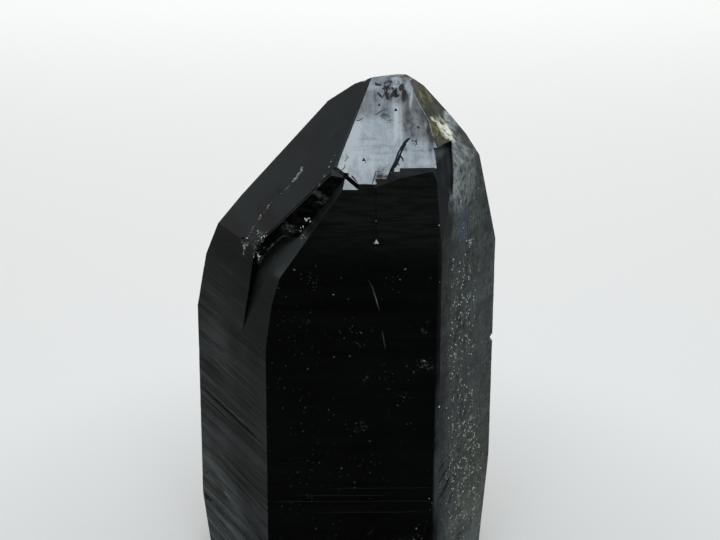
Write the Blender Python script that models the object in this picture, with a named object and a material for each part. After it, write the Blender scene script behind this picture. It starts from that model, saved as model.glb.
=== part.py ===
"""Morion, a black smoky quartz point, standing upright on the flat cut where it left the rock.

All sizes are in millimetres. The crystal's long axis is z, its front looks along -y, and +x is
to its right. A face is given as (azimuth, lean, point): azimuth is the compass direction that the
face looks, in degrees from the front and positive to the right, lean is how far its outward
normal rises above the horizontal, and point is any point that the face passes through.
"""

import math
import random

import bmesh
import bpy
from mathutils import Vector

MM = 0.001
SEED = 41

# Overall room for the crystal before its faces are cut.
BLANK_WIDTH = 90.0
BLANK_TOP = 140.0
BLANK_BOTTOM = -10.0
FRONT_Y = -22.5
BACK_Y = 22.5
TIP_HEIGHT = 114.9

# Leans that quartz keeps: the six closing faces, and the steep facets under them.
POINT_LEAN = 38.2
STEEP_LEAN = 21.5
LEFT_STEEP_LEAN = 19.8
CORNER_TAPER = 0.7

# Where two units share a face, one lies this much under the other, and cuts that would end
# on one plane are staggered.
UNIT_OVERLAP = 0.05
STEP_STAGGER = 0.04

# Where the main faces pass.
FRONT_FACE = (0.0, 0.0, (0.0, FRONT_Y, 0.0))
FRONT_POINT = (0.0, FRONT_Y, 97.9)
LEFT_POINT = (-14.6, FRONT_Y, 58.1)
RIGHT_POINT = (19.46, FRONT_Y, 22.0)
LEFT_CORNER = (-31.5, 6.2, 42.0)
RIGHT_CORNER = (31.7, -1.45, 45.0)
LEFT_RIDGE = (-8.1, -3.2, 102.65)
RIGHT_RIDGE = (23.9, -7.4, 104.2)
LEFT_SHOULDER = (-29.0, 2.6, 72.0)
RIGHT_SHOULDER = (29.2, -4.9, 89.2)
BACK_SHOULDER = (0.0, BACK_Y, 76.0)
BACK_RIDGE = (9.0, -6.6, TIP_HEIGHT)

# Small facets soften the corners where the closing faces meet the steep ones.
BEVEL_LEAN = 34.0
LEFT_BEVEL = (-24.4, -4.6, 84.9)
RIGHT_BEVEL = (25.2, -7.8, 102.4)

# A narrow facet takes off the corner between the front and the right face near the top. It is cut
# last, this much deeper than the faces that it replaces. Above it a shallow niche takes off the end
# of the sloping face: a small facet, a wall that ends it on the right, and a level roof.
CORNER_STRIP = (50.0, 3.3, (18.3, FRONT_Y, 96.67))
TRIM = 0.05
NICHE_FACET = (70.0, 23.5, (17.87, -20.61, 100.3))
NICHE_WALL = (-90.0, 0.0, (21.05, 0.0, 0.0))
NICHE_ROOF = (0.0, 90.0, (0.0, 0.0, 103.6))

# The lower left corner of the sloping face is chipped back to a ledge that is parallel to it.
CHIP_WALL = (-29.0, 0.0, (3.24, -22.42, 98.0))
CHIP_DEPTH = 0.68

# The back-left unit ends in an upright step above and in a deep groove below it. The wall of the
# groove overhangs, more steeply near its top.
STEP = (-7.0, 0.0, (-0.76, -20.86, 100.0))
GROOVE_WALLS = [
    (60.0, -31.0, (-12.2, -14.7, 85.0)),
    (60.0, -16.0, (-15.5, -15.2, 80.0)),
]
GROOVE_TOP = (0.0, 90.0, (0.0, 0.0, 86.7))

# The left flank of the front unit bends inwards towards the point, one facet above another.
FLANK_FACETS = [
    (-60.0, 30.8, (0.76, FRONT_Y, 97.15)),
    (-60.0, 14.4, (-11.55, FRONT_Y, 79.2)),
    (-60.0, 7.4, (-13.13, FRONT_Y, 73.9)),
]

# A plate on the right of the front stands a little proud and tops out above the sloping face.
# It is made of upright slabs, each standing a hair in front of the one to its left. A slab is
# (left x, right x, front rim height at its left and at its right, height where it meets the
# sloping face).
PLATE_SLABS = [
    (6.3, 8.95, 97.3, 98.2, 98.75),
    (8.9, 11.1, 98.2, 99.1, 99.85),
    (11.05, 20.6, 99.1, 101.2, 100.35),
]
PLATE_PROUD = 0.3
SLAB_STAGGER = 0.04
PLATE_FOOT_Z = 76.0
PLATE_ROOT = 5.0
PLATE_SUNK = 0.03

# A thin leaf of the left closing face ends along a ragged line.
LEAF_THICKNESS = 0.1
LEAF_ROOT = 2.0
LEAF_INSET = 0.35
LEAF_EDGE = (180.0, 0.0, (0.0, -13.0, 0.0))
LEAF_FOOT = (-150.0, -16.8, (-15.4, -13.1, 88.8))

# The foot narrows at both side corners.
LEFT_UNDERCUT = (-84.0, -6.9, (-31.67, 6.0, 14.2))
RIGHT_UNDERCUT = (80.0, -3.8, (30.6, -3.4, 19.8))

# A low plate on the back, with its own small closing faces.
BACK_PLATE_THICKNESS = 1.1
BACK_PLATE_ROOT = 3.0
BACK_PLATE_HALF_WIDTH = 9.5
BACK_PLATE_X = -3.0
BACK_PLATE_TOP = 58.0

# Growth ledges ring the prism between these heights.
LEDGE_BOTTOM = 4.5
LEDGE_TOP = 79.0
LEDGE_GAP = (0.9, 3.1)
LEDGE_RISE = 0.16
LEDGE_DEPTH = 0.004
SNAP = 0.005
WELD = 0.002

# The crack is this many times as deep as it is wide from its middle line.
CRACK_DEPTH = 2.0

# Cutters start this far off the surface that they cut.
CLEARANCE = 0.4

# A groove's depth at its ends, as a share of its depth half way.
GROOVE_END = 0.15

# A growth pit's half width, uphill reach and depth, as shares of its nominal size.
PIT_SIZE = (0.35, 0.7)
PIT_WIDE = 1.4
PIT_UPHILL = 1.6
PIT_DEEP = 0.45

# Chips are broader than tall, as shares of their nominal size.
SCOOP_WIDE = (1.0, 1.7)
SCOOP_TALL = (0.6, 0.9)
SCOOP_WOBBLE = 0.12


def face_normal(azimuth, lean):
    """Outward direction of a face."""
    turn = math.radians(azimuth)
    rise = math.radians(lean)
    return Vector((math.sin(turn) * math.cos(rise), -math.cos(turn) * math.cos(rise), math.sin(rise)))


def shifted(face, distance):
    """The same face moved outwards by a distance."""
    azimuth, lean, point = face
    return (azimuth, lean, tuple(Vector(point) + face_normal(azimuth, lean) * distance))


def opposite(face):
    """The same plane, looking the other way."""
    azimuth, lean, point = face
    return (azimuth + 180.0, -lean, point)


def fill_open_edges(mesh):
    open_edges = [edge for edge in mesh.edges if edge.is_boundary]
    bmesh.ops.holes_fill(mesh, edges=open_edges, sides=0)


def new_object(name, mesh):
    """Turns a bmesh in millimetres into an object in metres."""
    bmesh.ops.scale(mesh, vec=(MM, MM, MM), verts=mesh.verts)
    bmesh.ops.recalc_face_normals(mesh, faces=mesh.faces)
    data = bpy.data.meshes.new(name)
    mesh.to_mesh(data)
    mesh.free()
    made = bpy.data.objects.new(name, data)
    bpy.context.scene.collection.objects.link(made)
    return made


def grown_unit(name, faces):
    """A convex growth unit: a blank cut back to each of its faces."""
    mesh = bmesh.new()
    bmesh.ops.create_cube(mesh, size=1.0)
    bmesh.ops.scale(mesh, vec=(BLANK_WIDTH, BLANK_WIDTH, BLANK_TOP - BLANK_BOTTOM), verts=mesh.verts)
    bmesh.ops.translate(mesh, vec=(0.0, 0.0, (BLANK_TOP + BLANK_BOTTOM) / 2), verts=mesh.verts)
    for azimuth, lean, point in faces:
        bmesh.ops.bisect_plane(
            mesh,
            geom=mesh.verts[:] + mesh.edges[:] + mesh.faces[:],
            plane_co=point,
            plane_no=face_normal(azimuth, lean),
            clear_outer=True,
        )
        fill_open_edges(mesh)
    return new_object(name, mesh)


def hull_of(name, points):
    """A small convex cutter around a few points."""
    mesh = bmesh.new()
    for point in points:
        mesh.verts.new(point)
    bmesh.ops.convex_hull(mesh, input=mesh.verts)
    return new_object(name, mesh)


def combine(body, tool, operation):
    """Applies one exact Boolean to the body and discards the tool."""
    modifier = body.modifiers.new(operation, "BOOLEAN")
    modifier.operation = operation
    modifier.solver = "EXACT"
    modifier.object = tool
    depsgraph = bpy.context.evaluated_depsgraph_get()
    result = bpy.data.meshes.new_from_object(body.evaluated_get(depsgraph))
    body.modifiers.clear()
    body.data = result
    bpy.data.objects.remove(tool)


def prism_faces():
    return [
        (60.0, 0.3, RIGHT_POINT),
        (120.0, 0.4, RIGHT_CORNER),
        (180.0, 0.4, (0.0, BACK_Y, 20.0)),
        (-120.0, 1.2, LEFT_CORNER),
        (-60.0, CORNER_TAPER, LEFT_POINT),
    ]


def closing_faces():
    return [
        (0.0, POINT_LEAN, FRONT_POINT),
        (60.0, POINT_LEAN, (16.54, -15.49, 106.83)),
        (120.0, POINT_LEAN, RIGHT_RIDGE),
        (180.0, POINT_LEAN, BACK_RIDGE),
        (-120.0, POINT_LEAN, LEFT_RIDGE),
        (-60.0, POINT_LEAN, (-0.76, -20.86, 100.0)),
    ]


def shoulder_faces():
    return [
        (120.0, STEEP_LEAN, RIGHT_SHOULDER),
        (180.0, STEEP_LEAN, BACK_SHOULDER),
        (-120.0, LEFT_STEEP_LEAN, LEFT_SHOULDER),
        (120.0, BEVEL_LEAN, RIGHT_BEVEL),
        (-120.0, BEVEL_LEAN, LEFT_BEVEL),
        LEFT_UNDERCUT,
        RIGHT_UNDERCUT,
    ]


def worn_tip_faces():
    return [
        (0.0, 90.0, (0.0, 0.0, TIP_HEIGHT)),
        (-150.0, 51.5, (-0.2, -4.8, 110.8)),
        (-150.0, 66.0, (3.9, -7.4, 113.7)),
        (100.0, 57.6, (14.5, -8.1, 113.8)),
    ]


def back_left_unit():
    """The bulk of the crystal, with room left for the front unit's bent left flank."""
    hidden = [prism_faces()[0], FRONT_FACE] + closing_faces()[:2]
    shown = prism_faces()[1:] + closing_faces()[2:] + shoulder_faces() + worn_tip_faces()
    unit = grown_unit("back_left_unit", [shifted(face, -UNIT_OVERLAP) for face in hidden] + shown)
    for number, facet in enumerate(FLANK_FACETS):
        set_back = -STEP_STAGGER * number
        flank = opposite(shifted(facet, -UNIT_OVERLAP))
        groove = [opposite(shifted(wall, set_back)) for wall in GROOVE_WALLS]
        groove += [shifted(GROOVE_TOP, set_back), flank]
        combine(unit, grown_unit("groove_room", groove), "DIFFERENCE")
        combine(unit, grown_unit("step_room", [opposite(shifted(STEP, set_back)), flank]), "DIFFERENCE")
    return unit


def front_unit():
    hidden = prism_faces()[1:] + closing_faces()[2:] + shoulder_faces() + worn_tip_faces()
    shown = [prism_faces()[0], FRONT_FACE] + closing_faces()[:2] + FLANK_FACETS
    return grown_unit("front_unit", [shifted(face, -UNIT_OVERLAP) for face in hidden] + shown)


def slope_y(height):
    """How far back the sloping front face has come at a height."""
    return FRONT_POINT[1] + (height - FRONT_POINT[2]) * math.tan(math.radians(POINT_LEAN))


def plate_slab(number):
    """Fades into the front at its foot and stands proud of it at the top."""
    left, right, left_rim, right_rim, back_height = PLATE_SLABS[number]
    front = FRONT_Y - PLATE_PROUD - SLAB_STAGGER * number
    root = FRONT_Y + PLATE_ROOT
    points = []
    for x, rim in ((left, left_rim), (right, right_rim)):
        points.append((x, FRONT_Y, PLATE_FOOT_Z + number))
        points.append((x, front, rim))
        points.append((x, slope_y(back_height) + PLATE_SUNK, back_height))
        points.append((x, root, PLATE_FOOT_Z))
        points.append((x, root, back_height - 2 * PLATE_ROOT))
    slab = hull_of("plate_slab", points)
    for face in (prism_faces()[0], closing_faces()[1]):
        beyond = opposite(shifted(face, -UNIT_OVERLAP))
        combine(slab, grown_unit("beyond", [beyond]), "DIFFERENCE")
    return slab


def trim_corner(body):
    """A clean facet along the corner, across the plate and what lies beside it, and the niche."""
    combine(body, grown_unit("corner", [opposite(shifted(CORNER_STRIP, -TRIM))]), "DIFFERENCE")
    niche = grown_unit("niche", [opposite(NICHE_FACET), opposite(NICHE_WALL), NICHE_ROOF])
    combine(body, niche, "DIFFERENCE")


def chip_lower_corner(body):
    """Takes the lower left corner off the sloping face."""
    ledge = shifted(closing_faces()[0], -CHIP_DEPTH)
    combine(body, grown_unit("chip_room", [opposite(CHIP_WALL), opposite(ledge)]), "DIFFERENCE")


def closing_leaf():
    """The thin leaf on the left closing face."""
    surface = closing_faces()[5]
    underside = opposite(shifted(surface, -LEAF_ROOT))
    neighbours = [STEP, prism_faces()[4]]
    neighbours += [closing_faces()[0], closing_faces()[4]] + worn_tip_faces()[1:3]
    faces = [shifted(surface, LEAF_THICKNESS), underside, LEAF_EDGE, LEAF_FOOT]
    faces += [shifted(face, -LEAF_INSET) for face in neighbours]
    return grown_unit("closing_leaf", faces)


def back_plate():
    left = BACK_PLATE_X - BACK_PLATE_HALF_WIDTH
    right = BACK_PLATE_X + BACK_PLATE_HALF_WIDTH
    middle = (BACK_PLATE_X, BACK_Y, BACK_PLATE_TOP)
    faces = [
        (180.0, 0.4, (0.0, BACK_Y + BACK_PLATE_THICKNESS, 20.0)),
        (0.0, 0.0, (0.0, BACK_Y - BACK_PLATE_ROOT, 0.0)),
        (-120.0, 0.0, (left, BACK_Y, 0.0)),
        (120.0, 0.0, (right, BACK_Y, 0.0)),
        (-120.0, POINT_LEAN, middle),
        (120.0, POINT_LEAN, middle),
    ]
    return grown_unit("back_plate", faces)


def cut_base(body):
    """The flat cut that the crystal rests on."""
    far = BLANK_WIDTH
    corners = [(x, y, z) for x in (-far, far) for y in (-far, far) for z in (2 * BLANK_BOTTOM, 0.0)]
    combine(body, hull_of("base_cut", corners), "DIFFERENCE")


def rule_growth_ledges(body, chance):
    """Rings the prism with shallow ledges, each growth band a hair narrower than its neighbours."""
    mesh = bmesh.new()
    mesh.from_mesh(body.data)
    bmesh.ops.remove_doubles(mesh, verts=mesh.verts, dist=WELD * MM)
    levels = []
    height = LEDGE_BOTTOM
    while height < LEDGE_TOP:
        levels.append(height)
        height += chance.uniform(*LEDGE_GAP)
    for level in levels:
        for cut in (level - LEDGE_RISE / 2, level + LEDGE_RISE / 2):
            bmesh.ops.bisect_plane(
                mesh,
                geom=mesh.verts[:] + mesh.edges[:] + mesh.faces[:],
                dist=SNAP * MM,
                plane_co=(0.0, 0.0, cut * MM),
                plane_no=(0.0, 0.0, 1.0),
            )
    shrink = [0.0] + [chance.random() ** 2 * LEDGE_DEPTH for _ in levels[1:]] + [0.0]
    for vertex in mesh.verts:
        band = sum(1 for level in levels if vertex.co.z > level * MM)
        vertex.co.x *= 1.0 - shrink[band]
        vertex.co.y *= 1.0 - shrink[band]
    mesh.to_mesh(body.data)
    mesh.free()


def face_groove(azimuth, start, end, width, depth):
    """A V-shaped cutter along a line on an upright face, deepest half way."""
    outward = face_normal(azimuth, 0.0)
    first = Vector(start)
    last = Vector(end)
    across = (last - first).cross(outward).normalized() * (width / 2)
    end_depth = depth * GROOVE_END
    points = []
    for spot, bottom in ((first, end_depth), ((first + last) / 2, depth), (last, end_depth)):
        points.append(spot + outward * CLEARANCE + across)
        points.append(spot + outward * CLEARANCE - across)
        points.append(spot - outward * bottom)
    return hull_of("groove", points)


def cut_left_bands(body):
    """Dark growth grooves across the left face, longest in the middle of the prism."""
    bands = [
        ((-30.9, 5.4, 44.1), (-16.4, -19.7, 44.2), 0.7, 0.45),
        ((-30.5, 4.7, 22.3), (-24.1, -6.6, 22.4), 1.0, 0.5),
        ((-31.1, 5.4, 16.3), (-28.6, 1.0, 16.3), 0.7, 0.4),
        ((-26.6, -2.4, 17.8), (-24.6, -5.8, 17.8), 0.6, 0.4),
        ((-23.6, -7.3, 42.0), (-22.7, -8.9, 40.0), 0.7, 0.4),
    ]
    for start, end, width, depth in bands:
        combine(body, face_groove(-60.0, start, end, width, depth), "DIFFERENCE")


def cut_right_notches(body):
    """Short slanting notches where the front meets the right face near the foot."""
    notches = [
        (30.0, (18.0, -22.5, 30.8), (22.0, -18.3, 29.5), 0.8, 0.5),
        (30.0, (19.3, -22.3, 34.0), (22.4, -17.5, 33.6), 0.6, 0.4),
        (60.0, (21.6, -18.7, 27.4), (24.6, -13.6, 26.9), 0.7, 0.4),
    ]
    for azimuth, start, end, width, depth in notches:
        combine(body, face_groove(azimuth, start, end, width, depth), "DIFFERENCE")


def cut_crack(body):
    """The jagged crack that drops down the sloping front face onto the plate's top."""
    outward = face_normal(0.0, POINT_LEAN)
    path = [(12.3, 104.8), (11.4, 103.8), (10.8, 102.8), (10.2, 101.5), (9.5, 100.3), (8.6, 98.6)]
    half_widths = [0.12, 0.24, 0.3, 0.22, 0.3, 0.16]
    mesh = bmesh.new()
    rings = []
    for (x, z), half_width in zip(path, half_widths):
        spot = Vector((x, slope_y(z), z))
        rim = spot + outward * CLEARANCE
        sideways = Vector((half_width, 0.0, 0.0))
        corners = (rim - sideways, rim + sideways, spot - outward * CRACK_DEPTH * half_width)
        rings.append([mesh.verts.new(corner) for corner in corners])
    for upper, lower in zip(rings, rings[1:]):
        for side in range(3):
            following = (side + 1) % 3
            mesh.faces.new((upper[side], upper[following], lower[following], lower[side]))
    mesh.faces.new(rings[0])
    mesh.faces.new(rings[-1])
    combine(body, new_object("crack", mesh), "DIFFERENCE")


def scoop(body, centre, size, chance):
    """Takes a shallow shell-shaped chip out of an edge."""
    mesh = bmesh.new()
    bmesh.ops.create_icosphere(mesh, subdivisions=2, radius=1.0)
    stretch = [size * chance.uniform(*share) for share in (SCOOP_WIDE, SCOOP_WIDE, SCOOP_TALL)]
    for vertex in mesh.verts:
        wobble = 1.0 + chance.uniform(-SCOOP_WOBBLE, SCOOP_WOBBLE)
        vertex.co = Vector([value * length * wobble for value, length in zip(vertex.co, stretch)])
    bmesh.ops.translate(mesh, vec=centre, verts=mesh.verts)
    combine(body, new_object("scoop", mesh), "DIFFERENCE")


def chip_edges(body, chance):
    """Small bruises on the point, the shoulder and the corners, and bites out of the base rim."""
    bruises = [
        ((6.4, -10.1, 116.0), 1.9),
        ((10.4, -9.9, 116.2), 2.1),
        ((13.4, -8.6, 115.4), 1.7),
        ((3.6, -7.6, 114.6), 1.4),
        ((-18.6, -17.6, 87.2), 1.7),
        ((-16.0, -20.3, 86.0), 1.5),
        ((-19.4, -15.6, 84.0), 1.3),
        ((20.2, -22.9, 45.5), 0.9),
        ((32.3, -1.6, 58.0), 1.2),
        ((-32.3, 6.6, 66.0), 1.2),
        ((-19.3, 23.2, 71.0), 1.8),
        ((18.6, 22.8, 64.0), 1.7),
    ]
    for centre, size in bruises:
        scoop(body, centre, size, chance)
    base_bites = [
        ((-16.2, -23.6, -0.6), 2.6),
        ((-3.5, -24.0, -1.0), 2.4),
        ((8.5, -24.2, -0.8), 2.2),
        ((20.6, -21.6, -0.5), 2.6),
        ((27.8, -8.6, -0.9), 3.2),
        ((29.4, 1.8, -0.7), 3.0),
        ((24.0, 12.6, -0.6), 2.8),
        ((-30.2, 2.4, -0.7), 3.4),
        ((-25.0, -7.6, -0.6), 2.5),
        ((-26.0, 17.0, -0.7), 3.0),
        ((-13.0, 24.0, -0.8), 2.7),
        ((11.8, 23.6, -0.9), 3.3),
    ]
    for centre, size in base_bites:
        scoop(body, centre, size, chance)


def pit_front_slope(body, chance):
    """Three-sided growth pits in the sloping front face."""
    lean = math.radians(POINT_LEAN)
    outward = face_normal(0.0, POINT_LEAN)
    uphill = Vector((0.0, math.sin(lean), math.cos(lean)))
    sideways = Vector((1.0, 0.0, 0.0))
    near_tip = [(8.0, 113.0), (10.6, 111.7), (7.3, 110.4), (10.4, 109.6)]
    lower_down = [(14.4, 106.9), (13.7, 104.2), (4.4, 101.7)]
    for x, z in near_tip + lower_down:
        middle = Vector((x, slope_y(z), z))
        size = chance.uniform(*PIT_SIZE)
        rim = middle + outward * CLEARANCE
        foot = rim - uphill * size
        reach = sideways * size * PIT_WIDE
        points = [rim + uphill * size * PIT_UPHILL, foot + reach, foot - reach]
        points.append(middle - outward * size * PIT_DEEP)
        combine(body, hull_of("pit", points), "DIFFERENCE")


def centre_on_base(body):
    """Moves the mesh so that its box is centred over the origin and its cut rests on z = 0."""
    spots = [vertex.co for vertex in body.data.vertices]
    lows = [min(spot[axis] for spot in spots) for axis in range(3)]
    highs = [max(spot[axis] for spot in spots) for axis in range(3)]
    offset = Vector(((lows[0] + highs[0]) / 2, (lows[1] + highs[1]) / 2, lows[2]))
    for vertex in body.data.vertices:
        vertex.co -= offset


def morion_material():
    made = bpy.data.materials.new("morion")
    made.use_nodes = True
    shader = made.node_tree.nodes["Principled BSDF"]
    shader.inputs["Base Color"].default_value = (0.012, 0.013, 0.012, 1.0)
    shader.inputs["Roughness"].default_value = 0.18
    shader.inputs["Metallic"].default_value = 0.0
    shader.inputs["IOR"].default_value = 1.54
    return made


def build():
    for item in list(bpy.data.objects):
        bpy.data.objects.remove(item)
    chance = random.Random(SEED)
    body = back_left_unit()
    body.name = "morion_crystal"
    combine(body, closing_leaf(), "UNION")
    combine(body, front_unit(), "UNION")
    for number in range(len(PLATE_SLABS)):
        combine(body, plate_slab(number), "UNION")
    trim_corner(body)
    chip_lower_corner(body)
    combine(body, back_plate(), "UNION")
    cut_base(body)
    cut_left_bands(body)
    cut_right_notches(body)
    cut_crack(body)
    chip_edges(body, chance)
    pit_front_slope(body, chance)
    rule_growth_ledges(body, chance)
    centre_on_base(body)
    body.data.materials.clear()
    body.data.materials.append(morion_material())


build()
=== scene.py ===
import math
import random

import bmesh
import bpy
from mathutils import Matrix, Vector, noise
from mathutils.bvhtree import BVHTree


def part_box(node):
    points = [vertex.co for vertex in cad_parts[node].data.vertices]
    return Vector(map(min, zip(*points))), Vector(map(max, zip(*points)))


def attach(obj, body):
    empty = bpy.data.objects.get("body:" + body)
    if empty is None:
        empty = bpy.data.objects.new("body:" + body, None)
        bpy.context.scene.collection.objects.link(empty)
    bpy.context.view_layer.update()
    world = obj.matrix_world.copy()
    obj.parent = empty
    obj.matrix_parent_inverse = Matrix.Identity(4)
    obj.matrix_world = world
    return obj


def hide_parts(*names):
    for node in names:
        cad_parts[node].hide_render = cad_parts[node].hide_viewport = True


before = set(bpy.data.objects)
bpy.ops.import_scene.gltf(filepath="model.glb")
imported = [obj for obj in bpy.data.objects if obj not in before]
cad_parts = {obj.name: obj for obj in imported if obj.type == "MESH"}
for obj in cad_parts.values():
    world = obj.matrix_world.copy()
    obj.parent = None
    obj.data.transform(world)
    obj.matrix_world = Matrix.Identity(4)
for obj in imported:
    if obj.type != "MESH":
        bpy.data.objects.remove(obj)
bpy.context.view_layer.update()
scene = bpy.context.scene

# ---------------------------------------------------------------------------------------------
# The crystal. One natural point of black smoky quartz, grown from several parallel units and
# cut flat where it left the rock. Its upright faces carry fine level growth lines, the sloping
# front face is lightly etched and made bright by a painted reflection of the softbox, and the
# right side is milky.

MM = 0.001
chance = random.Random(7)
noise.seed_set(11)


def direction(azimuth, lean):
    """The way a face looks: azimuth from the front, positive to the right, and lean upwards."""
    turn = math.radians(azimuth)
    rise = math.radians(lean)
    return Vector((math.sin(turn) * math.cos(rise), -math.cos(turn) * math.cos(rise), math.sin(rise)))


# The closing faces of quartz lean this far. The crystal faces follow, each with the azimuths and
# leans of its facets.
SLOPE_LEAN = 38.2
FACES = {
    "front": [(0.0, 0.0)],
    "bright_slope": [(0.0, SLOPE_LEAN)],
    "left_slope": [(-60.0, SLOPE_LEAN)],
    "right_slope": [(60.0, SLOPE_LEAN)],
    "flank": [(-60.0, 30.8), (-60.0, 14.4), (-60.0, 7.4)],
    "left": [(-60.0, 0.7), (-84.0, -6.9)],
    "right": [(60.0, 0.3), (80.0, -3.8)],
    "strip": [(50.0, 3.3)],
    "niche": [(70.0, 23.5), (-90.0, 0.0)],
    "back": [(120.0, 0.4), (180.0, 0.4), (-120.0, 1.2)],
    "back_slope": [(180.0, 21.5), (-120.0, 19.8), (-120.0, 34.0), (180.0, SLOPE_LEAN), (-120.0, SLOPE_LEAN)],
    "right_shoulder": [(120.0, 21.5), (120.0, 34.0), (120.0, SLOPE_LEAN)],
    "hollow": [(-7.0, 0.0), (-29.0, 0.0), (60.0, -31.0), (60.0, -16.0), (0.0, -90.0)],
}
UPRIGHT = [
    ("front", 0.0), ("left", -60.0), ("right", 60.0), ("back", 180.0), ("back", 120.0), ("back", -120.0),
]
PLATE_TOP = "plate_top"
PLATE_ROOM = ((5.5, 22.0), (-24.0, -20.0), (96.0, 101.6))
PLATE_RISE = 0.3
BROKEN = "broken"
face_names = list(FACES) + [PLATE_TOP, BROKEN]
face_directions = [(name, direction(*way)) for name, ways in FACES.items() for way in ways]
ledge_directions = [(name, direction(turn, 0.0)) for name, turn in UPRIGHT]

# How far a facet may look away from its face, and how far it may lie off the bright slope. The
# facets beside that slope are the leaf, which is little sunk and belongs to the left slope, and
# the floor of the chip, which lies left of CHIP_X and belongs to the hollow.
FACE_SLACK = math.radians(2.0)
LEDGE_SLACK = math.radians(1.5)
SLOPE_SLACK = 0.1
LEAF_SUNK = 0.5
CHIP_X = 1.0

# The growth ledges ring the prism between two heights. Their risers are low.
SHOULDER_HEIGHT = 82.0 * MM
LEDGES = (4.6 * MM, 78.9 * MM)
LEDGE_TALL = 0.6 * MM
STEEP = 0.5

# The bright slope rises from the front face at this depth and height.
EDGE_Y = -22.93
EDGE_Z = 97.9
SLOPE_WAY = direction(0.0, SLOPE_LEAN)
SLOPE_POINT = Vector((0.0, EDGE_Y, EDGE_Z)) * MM


def face_name(face):
    """Which crystal face a facet belongs to. A ledge's riser belongs to the face that it crosses."""
    normal = face.normal
    centre = face.calc_center_median()
    nearness, name = max((way.dot(normal), name) for name, way in face_directions)
    if nearness > math.cos(FACE_SLACK):
        sunk = (SLOPE_POINT - centre).dot(normal) / MM
        if name != "bright_slope" or abs(sunk) < SLOPE_SLACK:
            return name
        if sunk < LEAF_SUNK:
            return "left_slope"
        return name if centre.x / MM > CHIP_X else "hollow"
    on_plate = all(low < value / MM < high for value, (low, high) in zip(centre, PLATE_ROOM))
    if normal.z > PLATE_RISE and on_plate:
        return PLATE_TOP
    level = Vector((normal.x, normal.y, 0.0))
    heights = [corner.co.z for corner in face.verts]
    on_ledge = LEDGES[0] < centre.z and max(heights) - min(heights) < LEDGE_TALL
    if centre.z < SHOULDER_HEIGHT and (on_ledge or level.length > STEEP):
        nearness, name = max((way.dot(level.normalized()), name) for name, way in ledge_directions)
        if on_ledge or nearness > math.cos(LEDGE_SLACK):
            return name
    return BROKEN


WELD = 0.002 * MM
body = bmesh.new()
body.from_mesh(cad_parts["morion_crystal"].data)
bmesh.ops.remove_doubles(body, verts=body.verts, dist=WELD / 2)
bmesh.ops.dissolve_limit(body, angle_limit=math.radians(0.15), verts=body.verts, edges=body.edges)
body.normal_update()

# The ledges of the prism are softened: every level is let out most of the way to the full width.
LET_OUT = 0.75
FRONT_Y = EDGE_Y * MM
PROBE = Vector((4.0 * MM, -0.1, 0.0))
BACKWARD = Vector((0.0, 1.0, 0.0))
solid = BVHTree.FromBMesh(body)
widths = {}
for corner in body.verts:
    level = round(corner.co.z, 6)
    if LEDGES[0] < level < LEDGES[1]:
        if level not in widths:
            found = solid.ray_cast(PROBE + Vector((0.0, 0.0, level)), BACKWARD)[0]
            widths[level] = 1.0 + (FRONT_Y / found.y - 1.0) * LET_OUT if found else 1.0
        corner.co.x *= widths[level]
        corner.co.y *= widths[level]
body.normal_update()

# The steps between the growth units are too low to see on the bright slope, which is made flat.
STEP_ROOM = 0.12 * MM
SLOPE_FOOT = SLOPE_POINT.z - 0.5 * MM
for corner in body.verts:
    off = (corner.co - SLOPE_POINT).dot(SLOPE_WAY)
    if abs(off) < STEP_ROOM and corner.co.z > SLOPE_FOOT:
        corner.co -= SLOPE_WAY * off
bmesh.ops.remove_doubles(body, verts=body.verts, dist=WELD)
bmesh.ops.dissolve_degenerate(body, edges=body.edges, dist=WELD)
body.normal_update()
for face in body.faces:
    face.material_index = face_names.index(face_name(face))


def slice_body(point, way):
    """Cuts every face along a plane and keeps both sides."""
    everything = body.faces[:] + body.edges[:] + body.verts[:]
    bmesh.ops.bisect_plane(body, geom=everything, dist=WELD, plane_co=point, plane_no=way)


# Growth lines: level slices in pairs, with a low riser between two bands. Slices across them give
# the bands and the slopes enough corners to be uneven.
LINE_GAP = (0.30, 1.30)
LINE_RISE = 0.16
LINES_FROM = 0.4
LINES_TO = 97.0
COLUMN_GAP = (1.7, 2.6)
COLUMNS_FROM = 1.1
COLUMN_LEAN = 0.12
SLOPE_LINES = (98.2, 114.6)
SLOPE_LINE_GAP = 0.9
ON_SLOPE = 0.01 * MM
UP = Vector((0.0, 0.0, 1.0))
low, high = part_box("morion_crystal")
height = low[2] / MM + LINES_FROM
levels = []
while height < LINES_TO:
    levels.append(height)
    height += chance.uniform(*LINE_GAP)
for level in levels:
    for cut in (level, level + LINE_RISE):
        slice_body((0.0, 0.0, cut * MM), UP)
column = low[0] / MM + COLUMNS_FROM
while column < high[0] / MM:
    slice_body((column * MM, 0.0, 0.0), (1.0, 0.0, COLUMN_LEAN))
    column += chance.uniform(*COLUMN_GAP)
height, top = SLOPE_LINES
while height < top:
    slice_body((0.0, 0.0, height * MM), UP)
    height += SLOPE_LINE_GAP
for face in body.faces:
    if max(abs((corner.co - SLOPE_POINT).dot(SLOPE_WAY)) for corner in face.verts) < ON_SLOPE:
        face.material_index = face_names.index("bright_slope")
bmesh.ops.triangulate(body, faces=[face for face in body.faces if len(face.verts) > 4])
body.normal_update()

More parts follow.
